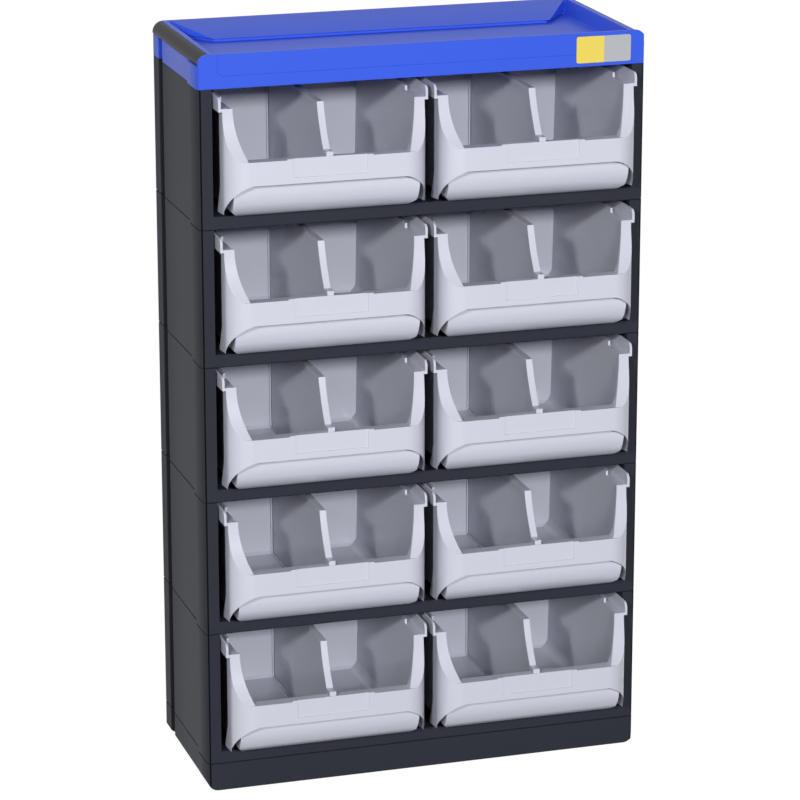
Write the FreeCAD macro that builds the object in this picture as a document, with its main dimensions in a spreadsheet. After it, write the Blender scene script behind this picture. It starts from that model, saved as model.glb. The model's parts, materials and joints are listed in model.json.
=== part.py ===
import FreeCAD, Part

import math
import os

import Sketcher

# A stacking cabinet for small parts: a plinth on four feet, five tiers with two open-fronted bins
# each, a lift-out divider in every bin and a tray-shaped top with a grip along each side.
# Working frame, in millimetres: X across, zero at the middle; Y back from the tiers' front face;
# Z up from the seam between the plinth and the lowest tier. The last step moves each piece to the
# cabinet's own frame, whose origin is the middle of its footprint on the ground.

SIZES = {
    # Whole cabinet
    "cabinet_width": 306.0,
    "cabinet_depth": 129.0,
    "tier_pitch": 93.5,
    "cut_overrun": 10.0,
    # Tier walls
    "strip_width": 8.0,
    "strip_depth": 8.0,
    "side_wall": 3.0,
    "wall_blend": 3.0,
    "back_wall": 2.4,
    "flare": 1.8,
    "flare_ramp": 4.0,
    "flare_depth": 30.0,
    "groove_back": 16.5,
    "groove_width": 11.0,
    "groove_depth": 4.0,
    "rear_corner": 2.0,
    "seam_bevel": 0.8,
    # Tier shelf and middle wall
    "shelf_height": 9.0,
    "shelf_plate": 2.5,
    "band_wall": 3.0,
    "middle_wall": 2.4,
    "middle_setback": 20.0,
    "guide_setback": 3.0,
    "guide_height": 5.0,
    # Plinth and feet
    "plinth_height": 19.2,
    "plinth_corner": 7.5,
    "plinth_wall": 3.0,
    "foot_height": 1.7,
    "foot_width": 15.0,
    "foot_corner": 3.0,
    "foot_side_inset": 22.0,
    "foot_end_inset": 9.0,
    # Tray top
    "tray_height": 22.9,
    "tray_corner": 7.5,
    "tray_floor": 12.7,
    "tray_plate": 2.5,
    "tray_front_wall": 3.0,
    "tray_side_wall": 10.0,
    "tray_draft": 1.6,
    "tray_rim": 4.0,
    "slope_depth": 32.0,
    "slope_end_length": 22.0,
    "slope_riser": 2.2,
    "slope_undercut": 2.5,
    "panel_step": 0.8,
    "panel_inset": 11.9,
    "panel_low": 8.5,
    "panel_corner": 4.0,
    # Grips
    "grip_front": 2.5,
    "grip_width": 6.2,
    "grip_low": 14.8,
    "grip_wall": 2.4,
    "grip_gap": 0.15,
    # Bin front
    "bin_side_gap": 1.0,
    "bin_top_gap": 3.5,
    "bin_back_gap": 0.8,
    "bin_front": 27.0,
    "bin_corner": 15.6,
    "skirt_wall": 2.0,
    "skirt_back": 4.3,
    "heel_reach": 6.8,
    "heel_rise": 2.2,
    "heel_top": 30.0,
    "leg_low": 11.8,
    "leg_front_rise": 3.0,
    "leg_tip": 0.2,
    "front_wall_height": 15.8,
    "mouth_inset": 16.45,
    "ledge_height": 49.8,
    "ledge_depth": 9.0,
    "ledge_bend": 1.4,
    "wing_set_back": 14.8,
    "wing_hollow": 3.25,
    "opening_inset": 7.0,
    "opening_narrowing": 6.85,
    "opening_bulge": 1.8,
    # Bin tub
    "tub_inset": 4.25,
    "tub_wall": 1.6,
    "tub_roll": 20.0,
    "tub_edge_round": 9.0,
    "tub_end_round": 5.0,
    "tub_rear_round": 2.6,
    "tub_draft": 1.2,
    "bin_play": 0.3,
    # Bin flanges
    "flange_reach": 2.45,
    "flange_plate": 2.0,
    "lip_height": 7.0,
    "lip_wall": 1.6,
    "lip_nose": 4.0,
    "rail_height": 3.0,
    "rail_start": 12.0,
    # Label field
    "label_half_width": 25.1,
    "label_depth": 0.8,
    "label_height": 11.7,
    "ridge_half_width": 29.0,
    "ridge_height": 0.8,
    "ridge_depth": 1.8,
    # Divider and its slot
    "divider_wall": 1.8,
    "divider_bead": 4.7,
    "bead_depth": 2.2,
    "divider_play": 0.3,
    "divider_drop": 0.7,
    "divider_setback": 10.5,
    "divider_hollow": 1.5,
    "hook_height": 3.4,
    "slot_rib": 1.0,
    "slot_rib_depth": 2.0,
    "floor_rib_height": 1.2,
    "rib_top_gap": 4.0,
}

TIERS = 5
SIDES = {"left": -1, "right": 1}
ENDS = ("front", "rear")
QUARTER_BULGE_SHARE = 1.0 - math.sqrt(0.5)
MATCH_SHARE = 1e-6
TANGENT_BEVEL_SHARE = 2.0 - math.sqrt(2.0)
LEANING_SHARE = 0.5
MOUTH_BULGE_SHARE = 0.326

doc = FreeCAD.newDocument("parts_cabinet")
sheet = doc.addObject("Spreadsheet::Sheet", "sizes")
for row, (alias, number) in enumerate(SIZES.items(), start=1):
    sheet.set("A%d" % row, alias)
    sheet.set("B%d" % row, str(number))
    sheet.setAlias("B%d" % row, alias)
doc.recompute()


# Sizes that keep their formula

class Size:
    """A length taken or worked out from the sheet, with the formula that gives it."""

    def __init__(self, value, formula):
        self.value = value
        self.formula = formula

    def __add__(self, other):
        other = as_size(other)
        return Size(self.value + other.value, "(%s + %s)" % (self.formula, other.formula))

    def __sub__(self, other):
        other = as_size(other)
        return Size(self.value - other.value, "(%s - %s)" % (self.formula, other.formula))

    def __mul__(self, other):
        other = as_size(other)
        return Size(self.value * other.value, "(%s * %s)" % (self.formula, other.formula))

    def __truediv__(self, other):
        other = as_size(other)
        return Size(self.value / other.value, "(%s / %s)" % (self.formula, other.formula))

    def __neg__(self):
        return Size(-self.value, "(-1 * %s)" % self.formula)

    def __abs__(self):
        return Size(abs(self.value), "abs(%s)" % self.formula)


def as_size(thing):
    """A plain number as a Size, and a Size as it is."""
    if isinstance(thing, Size):
        return thing
    return Size(float(thing), "(%s)" % repr(float(thing)))


def size(alias):
    """The sheet's value of that name."""
    return Size(float(sheet.get(alias)), "sizes." + alias)


def quarter(radius):
    """How far a quarter round of this radius stands off its chord."""
    return radius * QUARTER_BULGE_SHARE


def touching(radius):
    """How far a bevel reaches that touches a quarter round of this radius."""
    return radius * TANGENT_BEVEL_SHARE


ZERO = as_size(0)

# Outlines and prisms

ROTATIONS = {
    "XY": FreeCAD.Rotation(),
    "XZ": FreeCAD.Rotation(FreeCAD.Vector(1, 0, 0), 90),
    "YZ": FreeCAD.Rotation(FreeCAD.Vector(1, 1, 1), 120),
}
NORMALS = {
    "XY": ("z", FreeCAD.Vector(0, 0, 1)),
    "XZ": ("y", FreeCAD.Vector(0, 1, 0)),
    "YZ": ("x", FreeCAD.Vector(1, 0, 0)),
}


def both_sides(right):
    """A closed outline, the same on both sides of the middle, from its right half."""
    left = []
    for index in reversed(range(len(right))):
        across, along = right[index][:2]
        bend = tuple(right[index - 1][2:]) if index else ()
        left.append((-across, along) + bend)
    return list(right) + left


def bent_edge(start, end, bulge):
    """An arc from start to end that stands off its chord by bulge, left turns positive."""
    chord = end - start
    half = chord.Length / 2
    radius = (half * half + bulge * bulge) / (2 * abs(bulge))
    side = FreeCAD.Vector(-chord.y, chord.x, 0).normalize() * math.copysign(1, bulge)
    centre = (start + end) / 2 + side * (radius - abs(bulge))
    first, last = (start, end) if bulge > 0 else (end, start)
    angles = [math.atan2(point.y - centre.y, point.x - centre.x) for point in (first, last)]
    circle = Part.Circle(centre, FreeCAD.Vector(0, 0, 1), radius)
    return Part.ArcOfCircle(circle, angles[0], angles[1])


def draw(sketch, points):
    """Draw a closed outline, each corner and each bend bound to its formula."""
    spots = [FreeCAD.Vector(as_size(p[0]).value, as_size(p[1]).value, 0) for p in points]
    count = len(points)
    edges, bends = [], []
    for index, point in enumerate(points):
        start, end = spots[index], spots[(index + 1) % count]
        bend = as_size(point[2]) if len(point) > 2 else None
        bends.append(bend)
        edges.append(bent_edge(start, end, bend.value) if bend else Part.LineSegment(start, end))
    sketch.addGeometry(edges, False)
    head = [2 if bend and bend.value < 0 else 1 for bend in bends]
    rules, formulas = [], []
    for index, point in enumerate(points):
        after = (index + 1) % count
        rules.append(Sketcher.Constraint("Coincident", index, 3 - head[index], after, head[after]))
        formulas.append(None)
        for kind, place, term in (("DistanceX", spots[index].x, point[0]),
                                  ("DistanceY", spots[index].y, point[1])):
            rules.append(Sketcher.Constraint(kind, -1, 1, index, head[index], place))
            formulas.append(as_size(term).formula)
        if bends[index]:
            wide = as_size(points[after][0]) - point[0]
            tall = as_size(points[after][1]) - point[1]
            lift = abs(bends[index])
            radius = ((wide * wide + tall * tall) / 4 + lift * lift) / (lift * 2)
            rules.append(Sketcher.Constraint("Radius", index, radius.value))
            formulas.append(radius.formula)
    sketch.addConstraint(rules)
    for number, formula in enumerate(formulas):
        if formula:
            sketch.setExpression("Constraints[%d]" % number, formula)


def prism(name, plane, points, low, high):
    """The outline drawn on a plane and drawn out along that plane's axis from low to high."""
    axis, direction = NORMALS[plane]
    sketch = doc.addObject("Sketcher::SketchObject", name + "_outline")
    sketch.Placement = FreeCAD.Placement(FreeCAD.Vector(), ROTATIONS[plane])
    sketch.setExpression("Placement.Base." + axis, as_size(low).formula)
    draw(sketch, points)
    solid = doc.addObject("Part::Extrusion", name)
    solid.Base = sketch
    solid.DirMode = "Custom"
    solid.Dir = direction
    solid.Solid = True
    solid.setExpression("LengthFwd", (as_size(high) - low).formula)
    return solid


def box(name, low, high):
    """A block between two corners."""
    block = doc.addObject("Part::Box", name)
    for side, axis, start, end in zip(("Length", "Width", "Height"), "xyz", low, high):
        block.setExpression(side, (as_size(end) - start).formula)
        block.setExpression("Placement.Base." + axis, as_size(start).formula)
    return block


def fused(name, *solids):
    """One solid of several that meet."""
    whole = doc.addObject("Part::MultiFuse", name)
    whole.Shapes = list(solids)
    whole.Refine = True
    return whole


def shared(name, *solids):
    """The space that several solids have in common."""
    core = doc.addObject("Part::MultiCommon", name)
    core.Shapes = list(solids)
    return core


def cut(name, base, *tools):
    """A solid less the others."""
    tool = tools[0] if len(tools) == 1 else fused(name + "_tools", *tools)
    rest = doc.addObject("Part::Cut", name)
    rest.Base = base
    rest.Tool = tool
    rest.Refine = True
    return rest


def bevelled(name, base, reach, chosen):
    """The solid with its chosen edges bevelled; chosen tells them by their box."""
    doc.recompute()
    numbers = [number for number, edge in enumerate(base.Shape.Edges, start=1) if chosen(edge.BoundBox)]
    result = doc.addObject("Part::Chamfer", name)
    result.Base = base
    result.Edges = [(number, reach.value, reach.value) for number in numbers]
    return result


# Cabinet sizes used by several pieces

OVER = size("cut_overrun")
MATCH = OVER * MATCH_SHARE
HALF_WIDTH = size("cabinet_width") / 2
DEPTH = size("cabinet_depth")
PITCH = size("tier_pitch")
SHELF = size("shelf_height")
BAY_INNER = size("middle_wall") / 2
BAY_OUTER = HALF_WIDTH - size("strip_width")
BAY_MIDDLE = (BAY_INNER + BAY_OUTER) / 2
BACK = DEPTH - size("back_wall")
GROOVE_END = DEPTH - size("groove_back")
GROOVE_START = GROOVE_END - size("groove_width")


def body_outline():
    """The plan of tiers, plinth and top: flared at the front and grooved near the rear."""
    flare_side = HALF_WIDTH + size("flare")
    groove_floor = HALF_WIDTH - size("groove_depth")
    corner = size("rear_corner")
    return both_sides([
        (HALF_WIDTH, ZERO),
        (flare_side, size("flare_ramp")),
        (flare_side, size("flare_depth") - size("flare_ramp")),
        (HALF_WIDTH, size("flare_depth")),
        (HALF_WIDTH, GROOVE_START),
        (groove_floor, GROOVE_START),
        (groove_floor, GROOVE_END),
        (HALF_WIDTH, GROOVE_END),
        (HALF_WIDTH, DEPTH - corner),
        (HALF_WIDTH - corner, DEPTH),
    ])


def bay_outline(side, front):
    """The plan of the space for one bin, from front back to the rear wall."""
    wall_inner = HALF_WIDTH - size("side_wall")
    rear_inner = HALF_WIDTH - size("groove_depth") - size("side_wall")
    blend = size("wall_blend")
    right = [
        (BAY_INNER, front),
        (BAY_OUTER, front),
        (BAY_OUTER, size("strip_depth")),
        (wall_inner, size("strip_depth") + blend),
        (wall_inner, GROOVE_START - blend - blend),
        (rear_inner, GROOVE_START - blend),
        (rear_inner, BACK),
        (BAY_INNER, BACK),
    ]
    return [(across * side, along) for across, along in right]


def on_side(edge):
    """Whether an edge, told by its box, lies on the outer face of a tier's side."""
    groove_floor = (HALF_WIDTH - size("groove_depth")).value
    return min(abs(edge.XMin), abs(edge.XMax)) > groove_floor - MATCH.value


# Tiers

def make_tier():
    """One storey: side, rear and middle walls, a shelf with its front band, open above."""
    shell = prism("tier_block", "XY", body_outline(), ZERO, PITCH)
    cuts = []
    for name, side in SIDES.items():
        bay = bay_outline(side, -OVER)
        cuts.append(prism("bay_" + name, "XY", bay, SHELF, PITCH + OVER))
        hollow = bay_outline(side, size("band_wall"))
        cuts.append(prism("underside_" + name, "XY", hollow, -OVER, SHELF - size("shelf_plate")))
    guide_top = SHELF + size("guide_height")
    cuts.append(box("middle_recess", (-BAY_INNER, -OVER, guide_top),
                    (BAY_INNER, size("middle_setback"), PITCH + OVER)))
    cuts.append(box("guide_recess", (-BAY_INNER, -OVER, SHELF),
                    (BAY_INNER, size("guide_setback"), guide_top)))
    tier = cut("tier_walls", shell, *cuts)

    def at_seam(edge):
        return abs(edge.ZMin) + abs(edge.ZMax) < MATCH.value and on_side(edge)

    return bevelled("tier_shape", tier, size("seam_bevel"), at_seam)


# Plinth and feet

def make_plinth():
    """The base: a shallow pan under the lowest tier with its two lower edges rounded."""
    low = -size("plinth_height")
    block = prism("plinth_block", "XY", body_outline(), low, ZERO)
    edge = HALF_WIDTH + size("flare")
    corner = size("plinth_corner")
    section = both_sides([
        (edge - corner, low, quarter(corner)),
        (edge, low + corner),
        (edge, ZERO),
    ])
    rounded = shared("plinth_rounded", block, prism("plinth_section", "XZ", section, -OVER, DEPTH + OVER))
    wall = size("plinth_wall")
    pan = box("plinth_hollow",
              (-(BAY_OUTER - wall), size("band_wall"), low + wall), (BAY_OUTER - wall, BACK, OVER))
    return cut("plinth_shape", rounded, pan)


def make_foot():
    """A square pad with bevelled corners, its top at zero."""
    half = size("foot_width") / 2
    corner = size("foot_corner")
    outline = both_sides([
        (half - corner, -half),
        (half, -half + corner),
        (half, half - corner),
        (half - corner, half),
    ])
    return prism("foot_shape", "XY", outline, -size("foot_height"), ZERO)


# Tray top and grips

TRAY = size("tray_height")
TRAY_INNER = HALF_WIDTH - size("tray_side_wall")
SLOPE_TOP = DEPTH - size("tray_rim")
SLOPE_FOOT = SLOPE_TOP - size("slope_depth")


def rounded_side(name, inset, low, front, back):
    """The part of the top's cross-section inside its rounded upper edge, less an inset."""
    edge = HALF_WIDTH - inset
    corner = size("tray_corner") - inset
    section = both_sides([
        (edge, low),
        (edge, TRAY - inset - corner, quarter(corner)),
        (edge - corner, TRAY - inset),
    ])
    return prism(name, "XZ", section, front, back)


def slope_plan(undercut):
    """The plan of the floor's two rear corners, which cut the slope's ends off at an angle."""
    start = TRAY_INNER - size("tray_draft") - size("slope_end_length")
    front = SLOPE_FOOT - OVER
    return both_sides([
        (start, front),
        (TRAY_INNER, front),
        (TRAY_INNER, SLOPE_TOP),
        (TRAY_INNER - size("tray_draft") - undercut, SLOPE_TOP),
        (start - undercut / 2, SLOPE_FOOT + undercut),
    ])


def make_tray():
    """The top: a shallow open tray with a sloped rear face, hollow below."""
    edge = HALF_WIDTH + size("flare")
    corner = size("tray_corner")
    section = both_sides([
        (edge, ZERO),
        (edge, TRAY - corner, quarter(corner)),
        (edge - corner, TRAY),
    ])
    block = shared("tray_block", prism("tray_plan", "XY", body_outline(), ZERO, TRAY),
                   prism("tray_section", "XZ", section, -OVER, DEPTH + OVER))
    floor = size("tray_floor")
    riser_top = floor + size("slope_riser")
    undercut = size("slope_undercut")
    floor_half = TRAY_INNER - size("tray_draft")
    side_view = prism("well_side_view", "YZ", [
        (size("tray_front_wall"), floor),
        (SLOPE_FOOT + undercut, floor),
        (SLOPE_FOOT + undercut, riser_top),
        (SLOPE_FOOT, riser_top),
        (SLOPE_TOP, TRAY),
        (SLOPE_TOP, TRAY + OVER),
        (size("tray_front_wall"), TRAY + OVER),
    ], -TRAY_INNER, TRAY_INNER)
    upper = prism("well_upper_corners", "XY", slope_plan(ZERO), riser_top, TRAY + OVER)
    lower = prism("well_lower_corners", "XY", slope_plan(undercut), floor, riser_top)
    section = prism("well_section", "XZ", both_sides([
        (floor_half, floor),
        (TRAY_INNER, TRAY),
        (TRAY_INNER, TRAY + OVER),
    ]), size("tray_front_wall"), SLOPE_TOP)
    well = shared("tray_well", fused("well_plan", side_view, upper, lower), section)
    hollow = box("tray_underside", (-floor_half, size("tray_front_wall"), -OVER),
                 (floor_half, BACK, floor - size("tray_plate")))
    cuts = [well, hollow]
    for name, side in SIDES.items():
        outer = (HALF_WIDTH + OVER) * side
        inner = (HALF_WIDTH - size("grip_width") - size("grip_gap")) * side
        low_x, high_x = sorted((outer, inner), key=lambda term: term.value)
        rebate = box("rebate_" + name, (low_x, size("grip_front"), size("grip_low")),
                     (high_x, DEPTH + OVER, TRAY + OVER))
        seat = rounded_side("rebate_seat_" + name, size("grip_wall") + size("grip_gap"),
                            ZERO, size("grip_front"), DEPTH)
        cuts.append(cut("rebate_space_" + name, rebate, seat))
    frame_low = both_sides([
        (edge + OVER, -OVER),
        (edge + OVER, TRAY + OVER),
    ])
    panel_edge = HALF_WIDTH - size("panel_inset")
    round_off = size("panel_corner")
    panel = both_sides([
        (panel_edge - round_off, size("panel_low"), quarter(round_off)),
        (panel_edge, size("panel_low") + round_off),
        (panel_edge, TRAY + OVER + OVER),
    ])
    step = cut("panel_step_cut", prism("panel_step_block", "XZ", frame_low, -OVER, size("panel_step")),
               prism("panel_field", "XZ", panel, -OVER, size("panel_step") + OVER))
    cuts.append(step)
    return cut("tray_shape", block, *cuts)


def make_grip(name, side):
    """A rounded strip that covers one upper side edge of the top."""
    outer = rounded_side("grip_outer_" + name, ZERO, ZERO, size("grip_front"), DEPTH)
    inner = rounded_side("grip_inner_" + name, size("grip_wall"), -OVER,
                         -OVER, DEPTH + OVER)
    strip = cut("grip_tube_" + name, outer, inner)
    far = (HALF_WIDTH + OVER) * side
    near = (HALF_WIDTH - size("grip_width")) * side
    low_x, high_x = sorted((far, near), key=lambda term: term.value)
    window = box("grip_window_" + name, (low_x, size("grip_front"), size("grip_low")),
                 (high_x, DEPTH, TRAY + OVER))
    return shared("grip_shape_" + name, strip, window)


# Bins

FRONT = -size("bin_front")
BIN_HALF = (BAY_OUTER - BAY_INNER) / 2 - size("bin_side_gap") - size("flange_reach")
BIN_FLOOR = SHELF + size("bin_play")
LEDGE = size("ledge_height")
LEDGE_BACK = FRONT + size("ledge_depth")
BEND = FRONT + size("ledge_bend")
WING = PITCH - size("bin_top_gap") - size("lip_height")
WING_FACE = FRONT + size("wing_set_back")
TUB_BACK = BACK - size("bin_back_gap")
TUB_HALF = BIN_HALF - size("tub_inset")
TUB_INNER = TUB_HALF - size("tub_wall")
ROLL = size("tub_roll")
ROLL_FRONT = LEDGE_BACK - size("tub_wall")
ROLL_END = ROLL_FRONT + ROLL
ABOVE = PITCH + OVER


def skirt_plan(back):
    """The plan of the bin's front."""
    corner = size("bin_corner")
    return both_sides([
        (BIN_HALF - corner, FRONT, quarter(corner)),
        (BIN_HALF, FRONT + corner),
        (BIN_HALF, back),
    ])


def skirt_inner_plan(wall, back):
    """The plan of the space behind the bin's front, its corners bevelled."""
    corner = touching(size("bin_corner") - wall)
    side = BIN_HALF - wall
    front = FRONT + wall
    return both_sides([
        (side - corner, front),
        (side, front + corner),
        (side, back),
    ])


def below_rim(inset):
    """The side view of all that lies behind and below the rim's curve, less an inset."""
    return [
        (FRONT - OVER, -OVER),
        (TUB_BACK + OVER, -OVER),
        (TUB_BACK + OVER, ABOVE),
        (WING_FACE + inset, ABOVE),
        (WING_FACE + inset, WING, -size("wing_hollow")),
        (BEND + inset, LEDGE - inset),
        (FRONT - OVER, LEDGE - inset),
    ]


def behind_wings(wall):
    """The side view of the space between the skirt and the tub, clear of the rim's curve."""
    clear = wall + size("wing_hollow")
    return [
        (FRONT - OVER, -OVER),
        (TUB_BACK, -OVER),
        (TUB_BACK, ABOVE),
        (WING_FACE + clear, ABOVE),
        (WING_FACE + clear, WING),
        (BEND + clear, LEDGE - wall),
        (FRONT - OVER, LEDGE - wall),
    ]


def tub_outside():
    """The three prisms whose common space is the tub's outside, its low and rear edges bevelled."""
    low_half = TUB_HALF - size("tub_draft")
    end_bevel = touching(size("tub_end_round"))
    edge_bevel = touching(size("tub_edge_round"))
    rear_bevel = touching(size("tub_rear_round"))
    side_view = [
        (ROLL_FRONT, BIN_FLOOR + ROLL, quarter(ROLL)),
        (ROLL_END, BIN_FLOOR),
        (TUB_BACK - end_bevel, BIN_FLOOR),
        (TUB_BACK, BIN_FLOOR + end_bevel),
        (TUB_BACK, WING),
        (ROLL_FRONT, WING),
    ]
    section = both_sides([
        (low_half - edge_bevel, BIN_FLOOR),
        (low_half, BIN_FLOOR + edge_bevel),
        (TUB_HALF, WING),
        (TUB_HALF, ABOVE),
    ])
    plan = both_sides([
        (TUB_HALF, ROLL_FRONT),
        (TUB_HALF, TUB_BACK - rear_bevel),
        (TUB_HALF - rear_bevel, TUB_BACK),
    ])
    return [
        prism("tub_outer_side_view", "YZ", side_view, -TUB_HALF, TUB_HALF),
        prism("tub_outer_section", "XZ", section, ROLL_FRONT, TUB_BACK),
        prism("tub_outer_plan", "XY", plan, BIN_FLOOR, WING),
    ]


def tub_inside():
    """The prisms whose common space is the tub's hollow, its low edges rounded."""
    wall = size("tub_wall")
    low_half = TUB_INNER - size("tub_draft")
    floor = BIN_FLOOR + wall
    front = ROLL_FRONT + wall
    back = TUB_BACK - wall
    roll = ROLL - wall
    end_bevel = touching(size("tub_end_round") - wall)
    edge_round = size("tub_edge_round") - wall
    rear_bevel = touching(size("tub_rear_round") - wall)
    side_view = [
        (front, floor + roll, quarter(roll)),
        (front + roll, floor),
        (back - end_bevel, floor),
        (back, floor + end_bevel),
        (back, ABOVE),
        (front, ABOVE),
    ]
    section = both_sides([
        (low_half - edge_round, floor, quarter(edge_round)),
        (low_half, floor + edge_round),
        (TUB_INNER, WING),
        (TUB_INNER, ABOVE),
    ])
    plan = both_sides([
        (TUB_INNER, front),
        (TUB_INNER, back - rear_bevel),
        (TUB_INNER - rear_bevel, back),
    ])
    return [
        prism("tub_inner_side_view", "YZ", side_view, -TUB_INNER, TUB_INNER),
        prism("tub_inner_section", "XZ", section, front, back),
        prism("tub_inner_plan", "XY", plan, floor, ABOVE),
    ]


def make_skirt():
    """The bin's front: label wall, rounded corners, wings and legs, hollow behind."""
    wall = size("skirt_wall")
    rear = -size("skirt_back")
    heel = rear + size("heel_reach")
    leg_low = size("leg_low")
    side_view = [
        (FRONT, leg_low + size("leg_front_rise")),
        (heel, leg_low),
        (heel, leg_low + size("heel_rise")),
        (rear, size("heel_top")),
        (rear, WING),
        (WING_FACE, WING, -size("wing_hollow")),
        (BEND, LEDGE),
        (FRONT, LEDGE),
    ]
    mouth_edge = BIN_HALF - size("mouth_inset")
    leg_edge = BIN_HALF - size("leg_tip")
    bulge = (leg_edge - mouth_edge) * MOUTH_BULGE_SHARE
    mouth = both_sides([
        (mouth_edge, LEDGE - size("front_wall_height"), -bulge),
        (leg_edge, leg_low),
        (BIN_HALF + OVER, leg_low),
        (BIN_HALF + OVER, ABOVE),
    ])
    block = shared("skirt_block",
                   prism("skirt_plan", "XY", skirt_plan(heel), ZERO, ABOVE),
                   prism("skirt_side_view", "YZ", side_view, -BIN_HALF, BIN_HALF),
                   prism("skirt_mouth", "XZ", mouth, FRONT - OVER, heel + OVER))
    hollow = shared("skirt_hollow",
                    prism("skirt_inner_plan", "XY", skirt_inner_plan(wall, heel + OVER), -OVER, ABOVE),
                    prism("skirt_inner_side", "YZ", behind_wings(wall), -BIN_HALF, BIN_HALF))
    return cut("skirt", block, hollow)


def make_flange(name, side):
    """The channel along one upper side of the bin: a plate, its lip and the inner rail."""
    outer = BIN_HALF + size("flange_reach")
    low = WING - size("flange_plate")
    top = WING + size("lip_height")
    section = [
        (TUB_INNER * side, low),
        (outer * side, low),
        (outer * side, top),
        ((outer - size("lip_wall")) * side, top),
        ((outer - size("lip_wall")) * side, WING),
        (TUB_INNER * side, WING),
    ]
    nose = size("lip_nose")
    side_view = [
        (WING_FACE, low),
        (TUB_BACK, low),
        (TUB_BACK, top),
        (WING_FACE + nose, top, quarter(nose)),
        (WING_FACE, top - nose),
    ]
    reach = outer + OVER
    plate = shared("flange_" + name,
                   prism("flange_section_" + name, "XZ", section, WING_FACE, TUB_BACK),
                   prism("flange_side_view_" + name, "YZ", side_view, -reach, reach))
    near, far = sorted((TUB_INNER * side, TUB_HALF * side), key=lambda term: term.value)
    rail = box("rail_" + name, (near, size("rail_start"), low),
               (far, TUB_BACK - size("tub_rear_round"), WING + size("rail_height")))
    return [plate, rail]


def make_slot_ribs():
    """Paired ribs on the rear wall and the floor that hold the divider."""
    inner = size("divider_wall") / 2 + size("divider_play")
    outer = inner + size("slot_rib")
    wall = size("tub_wall")
    back = TUB_BACK - wall
    floor = BIN_FLOOR + wall
    depth = size("slot_rib_depth")
    ribs = []
    for name, side in SIDES.items():
        low_x, high_x = sorted((inner * side, outer * side), key=lambda term: term.value)
        ribs.append(box("rear_rib_" + name, (low_x, back - depth, floor + wall / 2),
                        (high_x, back + wall / 2, WING - size("rib_top_gap"))))
        ribs.append(box("floor_rib_" + name, (low_x, ROLL_END, floor - wall / 2),
                        (high_x, back - depth / 2, floor + size("floor_rib_height"))))
    return ribs


def make_bin():
    """The whole bin: tub, front skirt, flanges, label field and slot ribs in one moulding."""
    tub = shared("tub", *tub_outside(),
                 prism("tub_below_rim", "YZ", below_rim(ZERO), -HALF_WIDTH, HALF_WIDTH))
    ridge = box("label_ridge", (-size("ridge_half_width"), FRONT, LEDGE - size("skirt_wall")),
                (size("ridge_half_width"), FRONT + size("ridge_depth"), LEDGE + size("ridge_height")))
    flanges = [piece for name, side in SIDES.items() for piece in make_flange(name, side)]
    blank = fused("bin_blank", tub, make_skirt(), *flanges)
    hollow = shared("tub_hollow", *tub_inside(),
                    prism("hollow_below_rim", "YZ", below_rim(size("skirt_wall")),
                          -HALF_WIDTH, HALF_WIDTH))
    half = BIN_HALF - size("opening_inset")
    opening = prism("front_opening", "XZ", both_sides([
        (half - size("opening_narrowing"), LEDGE, size("opening_bulge")),
        (half, WING),
        (half, ABOVE),
    ]), FRONT - OVER, WING_FACE + size("skirt_wall") * 2)
    open_bin = fused("open_bin", cut("open_blank", blank, hollow, opening), ridge, *make_slot_ribs())
    label = box("label_field", (-size("label_half_width"), FRONT - OVER, LEDGE - size("label_height")),
                (size("label_half_width"), FRONT + size("label_depth"), ABOVE))
    return cut("bin_shape", open_bin, label)


def make_divider():
    """The lift-out divider: a thin plate with a thick front and top edge and a hook on the ledge."""
    play = size("divider_play")
    wall = size("tub_wall")
    floor = BIN_FLOOR + wall + play
    back = TUB_BACK - wall - play
    front = LEDGE_BACK + play
    top = WING - size("divider_drop")
    lean_top = LEDGE_BACK + size("divider_setback") + size("ledge_depth") * LEANING_SHARE
    roll = ROLL - wall - play
    end_bevel = size("tub_end_round") - wall
    ledge_top = LEDGE + play
    hook_top = ledge_top + size("hook_height")
    depth = size("bead_depth")
    hollow = size("divider_hollow")
    plate_half = size("divider_wall") / 2
    bead_half = size("divider_bead") / 2
    plate = prism("divider_plate", "YZ", [
        (front, floor + roll, quarter(roll)),
        (front + roll, floor),
        (back - end_bevel, floor),
        (back, floor + end_bevel),
        (back, top),
        (lean_top, top, -hollow),
        (front, hook_top),
    ], -plate_half, plate_half)
    rib_top = WING - size("rib_top_gap")
    bead = prism("divider_bead_strip", "YZ", [
        (front, hook_top),
        (front + depth, hook_top),
        (lean_top + depth, top - depth),
        (back, rib_top + play),
        (back, top),
        (lean_top, top, -hollow),
    ], -bead_half, bead_half)
    hook = box("divider_hook", (-bead_half, FRONT + size("ridge_depth"), ledge_top),
               (bead_half, front + depth, hook_top))
    return fused("divider_shape", plate, bead, hook)


# Nodes, each a placed copy of its shape

SHIFT_BACK = -(DEPTH - size("bin_front")) / 2
GROUND = size("plinth_height") + size("foot_height")
nodes = []


def place(name, shape, across, along, up):
    """A node: one placed copy of a shape, in the cabinet's own frame."""
    node = doc.addObject("Part::Compound", name)
    node.Links = [shape]
    node.Label = name
    for axis, term in zip("xyz", (across, along + SHIFT_BACK, up + GROUND)):
        node.setExpression("Placement.Base." + axis, term.formula)
    nodes.append(node)


plinth = make_plinth()
foot = make_foot()
tier = make_tier()
tray = make_tray()
bin_body = make_bin()
divider = make_divider()

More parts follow.
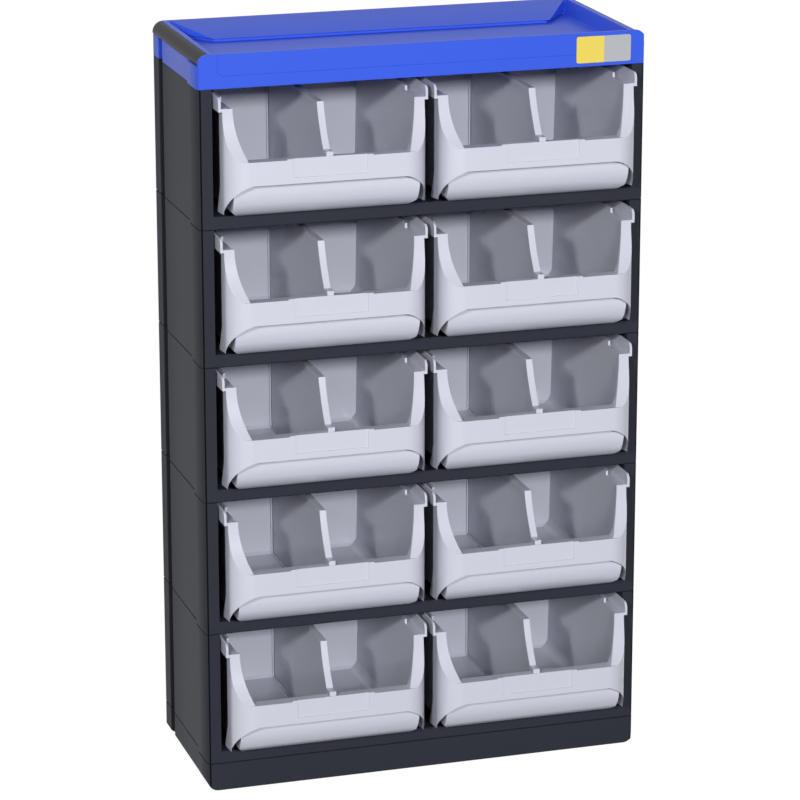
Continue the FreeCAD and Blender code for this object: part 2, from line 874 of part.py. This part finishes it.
place("base_plinth", plinth, ZERO, ZERO, ZERO)
foot_across = HALF_WIDTH - size("foot_side_inset") - size("foot_width") / 2
foot_in = size("foot_end_inset") + size("foot_width") / 2
for end, along in zip(ENDS, (foot_in, DEPTH - foot_in)):
    for name, side in SIDES.items():
        place("foot_%s_%s" % (end, name), foot, foot_across * side, along, -size("plinth_height"))
for level in range(TIERS):
    place("tier_%d" % (level + 1), tier, ZERO, ZERO, PITCH * level)
place("top_tray", tray, ZERO, ZERO, PITCH * TIERS)
for name, side in SIDES.items():
    place("grip_" + name, make_grip(name, side), ZERO, ZERO, PITCH * TIERS)
for level in range(TIERS):
    for name, side in SIDES.items():
        tag = "%d_%s" % (level + 1, name)
        place("bin_" + tag, bin_body, BAY_MIDDLE * side, ZERO, PITCH * level)
        place("divider_" + tag, divider, BAY_MIDDLE * side, ZERO, PITCH * level)

# Check and write

doc.recompute()
for item in doc.Objects:
    if "Invalid" in item.State or "Error" in item.State:
        raise RuntimeError("%s did not build: %s" % (item.Name, item.State))
for node in nodes:
    if node.Shape.isNull() or not node.Shape.isValid():
        raise RuntimeError("%s has no valid shape" % node.Label)
    solids = len(node.Shape.Solids)
    if solids != 1:
        raise RuntimeError("%s has %d solids" % (node.Label, solids))
os.makedirs("parts", exist_ok=True)
for node in nodes:
    node.Shape.exportStep("parts/%s.step" % node.Label)
print(len(nodes), "nodes written")
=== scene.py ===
import json
import math

import bmesh
import bpy
from mathutils import Matrix, Vector


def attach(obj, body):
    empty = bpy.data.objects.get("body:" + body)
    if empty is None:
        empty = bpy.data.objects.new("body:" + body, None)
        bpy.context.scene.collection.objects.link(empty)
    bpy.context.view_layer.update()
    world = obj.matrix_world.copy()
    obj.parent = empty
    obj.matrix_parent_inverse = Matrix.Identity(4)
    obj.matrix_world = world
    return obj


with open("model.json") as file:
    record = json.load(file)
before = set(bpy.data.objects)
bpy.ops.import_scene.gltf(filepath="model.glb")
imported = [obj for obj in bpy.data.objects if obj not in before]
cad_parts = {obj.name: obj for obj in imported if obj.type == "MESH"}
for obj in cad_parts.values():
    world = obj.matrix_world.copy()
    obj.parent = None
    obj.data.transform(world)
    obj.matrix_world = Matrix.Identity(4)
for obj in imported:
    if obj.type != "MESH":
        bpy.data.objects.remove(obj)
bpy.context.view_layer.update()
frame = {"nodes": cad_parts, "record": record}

MM = 0.001
NODES = frame["nodes"]
WHITE = (1.0, 1.0, 1.0, 1.0)


# Camera at the photograph's angle

IMAGE_SIZE = 800
FOCAL_PIXELS = 3620.1
SENSOR_WIDTH = 36.0
CAMERA_YAW = math.radians(17.329)
CAMERA_PITCH = math.radians(16.395)
CAMERA_ROLL = math.radians(-0.009)
CAMERA_PLACE = Vector((-713.9, -2282.3, 956.2)) * MM
CLIP_START = 0.05
CLIP_END = 50.0


def make_camera():
    """A long lens, high on the left and with no shift, at the photograph's viewing angle."""
    data = bpy.data.cameras.new("camera")
    data.sensor_width = SENSOR_WIDTH
    data.lens = FOCAL_PIXELS * SENSOR_WIDTH / IMAGE_SIZE
    data.clip_start = CLIP_START
    data.clip_end = CLIP_END
    camera = bpy.data.objects.new("camera", data)
    bpy.context.collection.objects.link(camera)
    ahead = Vector((math.sin(CAMERA_YAW) * math.cos(CAMERA_PITCH),
                    math.cos(CAMERA_YAW) * math.cos(CAMERA_PITCH),
                    -math.sin(CAMERA_PITCH)))
    turn = ahead.to_track_quat("-Z", "Y").to_matrix().to_4x4()
    roll = Matrix.Rotation(CAMERA_ROLL, 4, "Z")
    camera.matrix_world = Matrix.Translation(CAMERA_PLACE) @ turn @ roll
    bpy.context.scene.camera = camera


# Light and floor

FLOOR_SIZE = 12.0
FLOOR_COLOR = (0.30, 0.30, 0.305, 1.0)
FLOOR_ROUGHNESS = 0.8
FLOOR_GLOW = 0.88
ROOM_COLOR = (0.95, 0.97, 1.0, 1.0)
ROOM_LEVEL = 0.02
BACKDROP_LEVEL = 0.85
ROOM_EDGE = -0.15
BACKDROP_EDGE = 0.35
LIGHT_REACH = 3.9
LIGHT_AIM = Vector((0.0, 0.0, 0.25))
SOFT_BOXES = {
    "frontal": {"azimuth": 4.0, "height": 1.57, "size": 0.34, "level": 0.66},
    "slanting": {"azimuth": 35.0, "height": 1.80, "size": 0.26, "level": 0.45},
}


def background_seen(nodes, links):
    """A value that is 1 for camera, glossy and transmission rays, which see the background."""
    path = nodes.new("ShaderNodeLightPath")
    result = path.outputs["Is Camera Ray"]
    for kind in ("Is Glossy Ray", "Is Transmission Ray"):
        either = nodes.new("ShaderNodeMath")
        either.operation = "MAXIMUM"
        links.new(result, either.inputs[0])
        links.new(path.outputs[kind], either.inputs[1])
        result = either.outputs[0]
    return result


def make_world():
    """White where it is seen; it lights the object from behind, and little from the room in front."""
    world = bpy.data.worlds.new("studio")
    bpy.context.scene.world = world
    world.use_nodes = True
    nodes, links = world.node_tree.nodes, world.node_tree.links
    nodes.clear()
    where = nodes.new("ShaderNodeTexCoord")
    parts = nodes.new("ShaderNodeSeparateXYZ")
    links.new(where.outputs["Generated"], parts.inputs[0])
    level = nodes.new("ShaderNodeMapRange")
    level.interpolation_type = "SMOOTHSTEP"
    level.inputs["From Min"].default_value = ROOM_EDGE
    level.inputs["From Max"].default_value = BACKDROP_EDGE
    level.inputs["To Min"].default_value = ROOM_LEVEL
    level.inputs["To Max"].default_value = BACKDROP_LEVEL
    links.new(parts.outputs["Y"], level.inputs["Value"])
    lit = nodes.new("ShaderNodeBackground")
    lit.inputs["Color"].default_value = ROOM_COLOR
    links.new(level.outputs["Result"], lit.inputs["Strength"])
    seen = nodes.new("ShaderNodeBackground")
    seen.inputs["Color"].default_value = WHITE
    mix = nodes.new("ShaderNodeMixShader")
    links.new(background_seen(nodes, links), mix.inputs[0])
    links.new(lit.outputs[0], mix.inputs[1])
    links.new(seen.outputs[0], mix.inputs[2])
    out = nodes.new("ShaderNodeOutputWorld")
    links.new(mix.outputs[0], out.inputs["Surface"])


def soft_box(name, azimuth, height, size, level):
    """A square lamp, azimuth degrees left of straight ahead, that gives a white card facing it level."""
    data = bpy.data.lights.new(name, "AREA")
    data.shape = "SQUARE"
    data.size = size
    lamp = bpy.data.objects.new(name, data)
    bpy.context.collection.objects.link(lamp)
    turn = math.radians(azimuth)
    place = Vector((-math.sin(turn) * LIGHT_REACH, -math.cos(turn) * LIGHT_REACH, height))
    away = place - LIGHT_AIM
    data.energy = level * (math.pi * away.length) ** 2
    aim = (-away).to_track_quat("-Z", "Y").to_matrix().to_4x4()
    lamp.matrix_world = Matrix.Translation(place) @ aim


def make_floor():
    """A plain pale floor that keeps the object's shadow and runs into the white background."""
    shape = bmesh.new()
    bmesh.ops.create_grid(shape, x_segments=2, y_segments=2, size=FLOOR_SIZE / 2)
    mesh = bpy.data.meshes.new("floor")
    shape.to_mesh(mesh)
    shape.free()
    floor = bpy.data.objects.new("floor", mesh)
    bpy.context.collection.objects.link(floor)
    material = bpy.data.materials.new("floor_paper")
    material.use_nodes = True
    nodes, links = material.node_tree.nodes, material.node_tree.links
    shader = nodes["Principled BSDF"]
    shader.inputs["Base Color"].default_value = FLOOR_COLOR
    shader.inputs["Roughness"].default_value = FLOOR_ROUGHNESS
    shader.inputs["Specular IOR Level"].default_value = 0.0
    shader.inputs["Emission Color"].default_value = WHITE
    glow = nodes.new("ShaderNodeMath")
    glow.operation = "MULTIPLY"
    glow.inputs[1].default_value = FLOOR_GLOW
    links.new(background_seen(nodes, links), glow.inputs[0])
    links.new(glow.outputs[0], shader.inputs["Emission Strength"])
    mesh.materials.append(material)


# Materials

BIN_COLOR = (0.54, 0.555, 0.635)
CLOUD_SCALE = 14.0
CLOUD_DETAIL = 4.0
GRAIN_DETAIL = 3.0
GLOSS_PLAY = 0.015
PLASTICS = {
    "cabinet_plastic": {"color": (0.023, 0.026, 0.035), "roughness": 0.62, "specular": 0.09,
                        "mottle": 0.08, "grain_scale": 700.0, "grain_depth": 0.10 * MM},
    "tray_plastic": {"color": (0.036, 0.097, 0.66), "roughness": 0.45, "specular": 0.18,
                     "mottle": 0.02, "grain_scale": 900.0, "grain_depth": 0.02 * MM},
    "grip_plastic": {"color": (0.008, 0.009, 0.008), "roughness": 0.25, "specular": 0.035,
                     "mottle": 0.10, "grain_scale": 500.0, "grain_depth": 0.01 * MM},
    "bin_plastic": {"color": BIN_COLOR, "roughness": 0.25, "specular": 0.5,
                    "mottle": 0.01, "grain_scale": 700.0, "grain_depth": 0.01 * MM},
    "divider_plastic": {"color": BIN_COLOR, "roughness": 0.25, "specular": 0.5,
                        "mottle": 0.01, "grain_scale": 700.0, "grain_depth": 0.01 * MM},
    "foot_rubber": {"color": (0.012, 0.012, 0.013), "roughness": 0.75, "specular": 0.3,
                    "mottle": 0.10, "grain_scale": 1200.0, "grain_depth": 0.04 * MM},
    "plate_yellow": {"color": (0.72, 0.57, 0.085), "roughness": 0.35, "specular": 0.5,
                     "mottle": 0.02, "grain_scale": 900.0, "grain_depth": 0.01 * MM},
    "plate_silver": {"color": (0.38, 0.395, 0.42), "roughness": 0.35, "specular": 0.5,
                     "mottle": 0.03, "grain_scale": 900.0, "grain_depth": 0.01 * MM},
}
# Painted shade: colour, position and width of the dark line painted down the cabinet's front corners in
# place of the corner edge's shade.
CORNER_SHADE_COLOR = (0.002, 0.002, 0.003, 1.0)
CORNER_SHADE_ACROSS = 152.9 * MM
CORNER_SHADE_HALF = 0.45 * MM
CORNER_SHADE_FRONT = -50.0 * MM


def plastic(name, color, roughness, specular, mottle, grain_scale, grain_depth):
    """Moulded plastic or rubber: a colour with faint cloudy variation and a fine grain."""
    material = bpy.data.materials.new(name)
    material.use_nodes = True
    nodes, links = material.node_tree.nodes, material.node_tree.links
    shader = nodes["Principled BSDF"]
    shader.inputs["Specular IOR Level"].default_value = specular
    where = nodes.new("ShaderNodeTexCoord")
    clouds = nodes.new("ShaderNodeTexNoise")
    clouds.inputs["Scale"].default_value = CLOUD_SCALE
    clouds.inputs["Detail"].default_value = CLOUD_DETAIL
    links.new(where.outputs["Object"], clouds.inputs["Vector"])
    tint = nodes.new("ShaderNodeMix")
    tint.data_type = "RGBA"
    dark = tuple(channel * (1.0 - mottle) for channel in color)
    light = tuple(min(1.0, channel * (1.0 + mottle)) for channel in color)
    tint.inputs["A"].default_value = (*dark, 1.0)
    tint.inputs["B"].default_value = (*light, 1.0)
    links.new(clouds.outputs["Fac"], tint.inputs["Factor"])
    links.new(tint.outputs["Result"], shader.inputs["Base Color"])
    rough = nodes.new("ShaderNodeMapRange")
    rough.inputs["To Min"].default_value = roughness - GLOSS_PLAY
    rough.inputs["To Max"].default_value = roughness + GLOSS_PLAY
    links.new(clouds.outputs["Fac"], rough.inputs["Value"])
    links.new(rough.outputs["Result"], shader.inputs["Roughness"])
    grain = nodes.new("ShaderNodeTexNoise")
    grain.inputs["Scale"].default_value = grain_scale
    grain.inputs["Detail"].default_value = GRAIN_DETAIL
    links.new(where.outputs["Object"], grain.inputs["Vector"])
    bump = nodes.new("ShaderNodeBump")
    bump.inputs["Distance"].default_value = grain_depth
    links.new(grain.outputs["Fac"], bump.inputs["Height"])
    links.new(bump.outputs["Normal"], shader.inputs["Normal"])
    return material


def add_painted_corner_shade(material):
    """Painted shade: a dark, dull line down the cabinet's front corners, standing in for the shade that the
    rounded corner edge shows.
    """
    nodes, links = material.node_tree.nodes, material.node_tree.links
    shader = nodes["Principled BSDF"]
    where = nodes.new("ShaderNodeTexCoord")
    parts = nodes.new("ShaderNodeSeparateXYZ")
    links.new(where.outputs["Object"], parts.inputs[0])

    def combine(operation, *values):
        """A math node's result, from sockets and plain numbers."""
        node = nodes.new("ShaderNodeMath")
        node.operation = operation
        for entry, value in zip(node.inputs, values):
            if isinstance(value, bpy.types.NodeSocket):
                links.new(value, entry)
            else:
                entry.default_value = value
        return node.outputs[0]

    distance = combine("ABSOLUTE", parts.outputs["X"])
    across = combine("COMPARE", distance, CORNER_SHADE_ACROSS, CORNER_SHADE_HALF)
    front = combine("LESS_THAN", parts.outputs["Y"], CORNER_SHADE_FRONT)
    line = combine("MULTIPLY", across, front)
    tint = nodes.new("ShaderNodeMix")
    tint.data_type = "RGBA"
    tint.inputs["B"].default_value = CORNER_SHADE_COLOR
    links.new(line, tint.inputs["Factor"])
    links.new(shader.inputs["Base Color"].links[0].from_socket, tint.inputs["A"])
    links.new(tint.outputs["Result"], shader.inputs["Base Color"])
    dull = combine("MAXIMUM", line, shader.inputs["Roughness"].links[0].from_socket)
    links.new(dull, shader.inputs["Roughness"])


def make_materials():
    """Every material of the cabinet by name; the solids' slots have the same names."""
    made = {name: plastic(name, **values) for name, values in PLASTICS.items()}
    # The cabinet's front corners get a painted shade line.
    add_painted_corner_shade(made["cabinet_plastic"])
    return made


# Surfaces of the carried-over solids

WELD_DISTANCE = 0.001 * MM
FLAT_ANGLE = math.radians(0.5)
SMOOTH_ANGLE = math.radians(32.0)
EDGE_SEGMENTS = 2
EDGE_ROUNDS = {
    "cabinet_plastic": 0.45 * MM,
    "tray_plastic": 0.6 * MM,
    "grip_plastic": 0.4 * MM,
    "bin_plastic": 0.22 * MM,
    "divider_plastic": 0.25 * MM,
    "foot_rubber": 0.3 * MM,
}


def make_smoothing():
    """A node group that shades faces smooth and keeps only the edges past SMOOTH_ANGLE sharp."""
    group = bpy.data.node_groups.new("smoothing", "GeometryNodeTree")
    group.interface.new_socket("Geometry", in_out="INPUT", socket_type="NodeSocketGeometry")
    group.interface.new_socket("Geometry", in_out="OUTPUT", socket_type="NodeSocketGeometry")
    nodes, links = group.nodes, group.links
    entry = nodes.new("NodeGroupInput")
    plain = nodes.new("GeometryNodeRemoveAttribute")
    plain.inputs["Name"].default_value = "custom_normal"
    faces = nodes.new("GeometryNodeSetShadeSmooth")
    faces.domain = "FACE"
    angle = nodes.new("GeometryNodeInputMeshEdgeAngle")
    soft = nodes.new("FunctionNodeCompare")
    soft.operation = "LESS_THAN"
    soft.inputs["B"].default_value = SMOOTH_ANGLE
    edges = nodes.new("GeometryNodeSetShadeSmooth")
    edges.domain = "EDGE"
    leave = nodes.new("NodeGroupOutput")
    links.new(entry.outputs[0], plain.inputs["Geometry"])
    links.new(plain.outputs["Geometry"], faces.inputs["Geometry"])
    links.new(faces.outputs["Geometry"], edges.inputs["Geometry"])
    links.new(angle.outputs["Unsigned Angle"], soft.inputs["A"])
    links.new(soft.outputs["Result"], edges.inputs["Shade Smooth"])
    links.new(edges.outputs["Geometry"], leave.inputs[0])
    return group


def add_bevel(piece, width):
    """Round a piece's edges past SMOOTH_ANGLE by a bevel modifier, which it returns."""
    edge = piece.modifiers.new("edge", "BEVEL")
    edge.width = width
    edge.segments = EDGE_SEGMENTS
    edge.limit_method = "ANGLE"
    edge.angle_limit = SMOOTH_ANGLE
    return edge


def round_edges(node, width, smoothing):
    """Join a solid's facets into whole faces and round its edges, by modifiers alone."""
    weld = node.modifiers.new("weld", "WELD")
    weld.merge_threshold = WELD_DISTANCE
    flat = node.modifiers.new("flat", "DECIMATE")
    flat.decimate_type = "DISSOLVE"
    flat.angle_limit = FLAT_ANGLE
    node.modifiers.new("smooth", "NODES").node_group = smoothing
    add_bevel(node, width).harden_normals = True


def dress_nodes(materials):
    """Give every carried-over solid its material and rounded edges."""
    smoothing = make_smoothing()
    slots = {entry["node"]: entry["material_slot"] for entry in frame["record"]["subparts"]}
    for name, node in NODES.items():
        slot = slots[name]
        node.data.materials.clear()
        node.data.materials.append(materials[slot])
        round_edges(node, EDGE_ROUNDS[slot], smoothing)


# Bare plate on the top's front

PLATE_LEFT = 105.3 * MM
PLATE_SPLIT = 124.7 * MM
PLATE_RIGHT = 143.9 * MM
PLATE_LOW = 490.9 * MM
PLATE_HIGH = 508.9 * MM
PLATE_FRONT = -51.35 * MM
PLATE_BACK = -50.1 * MM
PLATE_CORNER = 1.6 * MM
PLATE_EDGE = 0.25 * MM
PLATE_CORNER_STEPS = 5
QUARTER_TURN = math.pi / 2


def plate_rim():
    """The points of the plate's outline, corner by corner from the upper right."""
    corners = ((PLATE_RIGHT - PLATE_CORNER, PLATE_HIGH - PLATE_CORNER),
               (PLATE_LEFT + PLATE_CORNER, PLATE_HIGH - PLATE_CORNER),
               (PLATE_LEFT + PLATE_CORNER, PLATE_LOW + PLATE_CORNER),
               (PLATE_RIGHT - PLATE_CORNER, PLATE_LOW + PLATE_CORNER))
    for start, (centre_x, centre_z) in enumerate(corners):
        for step in range(PLATE_CORNER_STEPS + 1):
            angle = (start + step / PLATE_CORNER_STEPS) * QUARTER_TURN
            yield (centre_x + PLATE_CORNER * math.cos(angle), PLATE_FRONT,
                   centre_z + PLATE_CORNER * math.sin(angle))


def make_plate(materials):
    """A bare plate in two colours with rounded corners, set on the front of the top."""
    shape = bmesh.new()
    face = shape.faces.new([shape.verts.new(point) for point in plate_rim()])
    drawn = bmesh.ops.extrude_face_region(shape, geom=[face])
    moved = [item for item in drawn["geom"] if isinstance(item, bmesh.types.BMVert)]
    bmesh.ops.translate(shape, verts=moved, vec=(0.0, PLATE_BACK - PLATE_FRONT, 0.0))
    bmesh.ops.bisect_plane(shape, geom=shape.verts[:] + shape.edges[:] + shape.faces[:],
                           plane_co=(PLATE_SPLIT, 0.0, 0.0), plane_no=(1.0, 0.0, 0.0))
    bmesh.ops.recalc_face_normals(shape, faces=shape.faces)
    for face in shape.faces:
        face.material_index = int(face.calc_center_median().x > PLATE_SPLIT)
    mesh = bpy.data.meshes.new("front_plate")
    shape.to_mesh(mesh)
    shape.free()
    mesh.materials.append(materials["plate_yellow"])
    mesh.materials.append(materials["plate_silver"])
    plate = bpy.data.objects.new("front_plate", mesh)
    bpy.context.collection.objects.link(plate)
    add_bevel(plate, PLATE_EDGE)
    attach(plate, "cabinet")


make_camera()
make_world()
for box_name, box in SOFT_BOXES.items():
    soft_box(box_name, **box)
make_floor()
cabinet_materials = make_materials()
dress_nodes(cabinet_materials)
make_plate(cabinet_materials)

bpy.context.scene.view_settings.view_transform = "Standard"
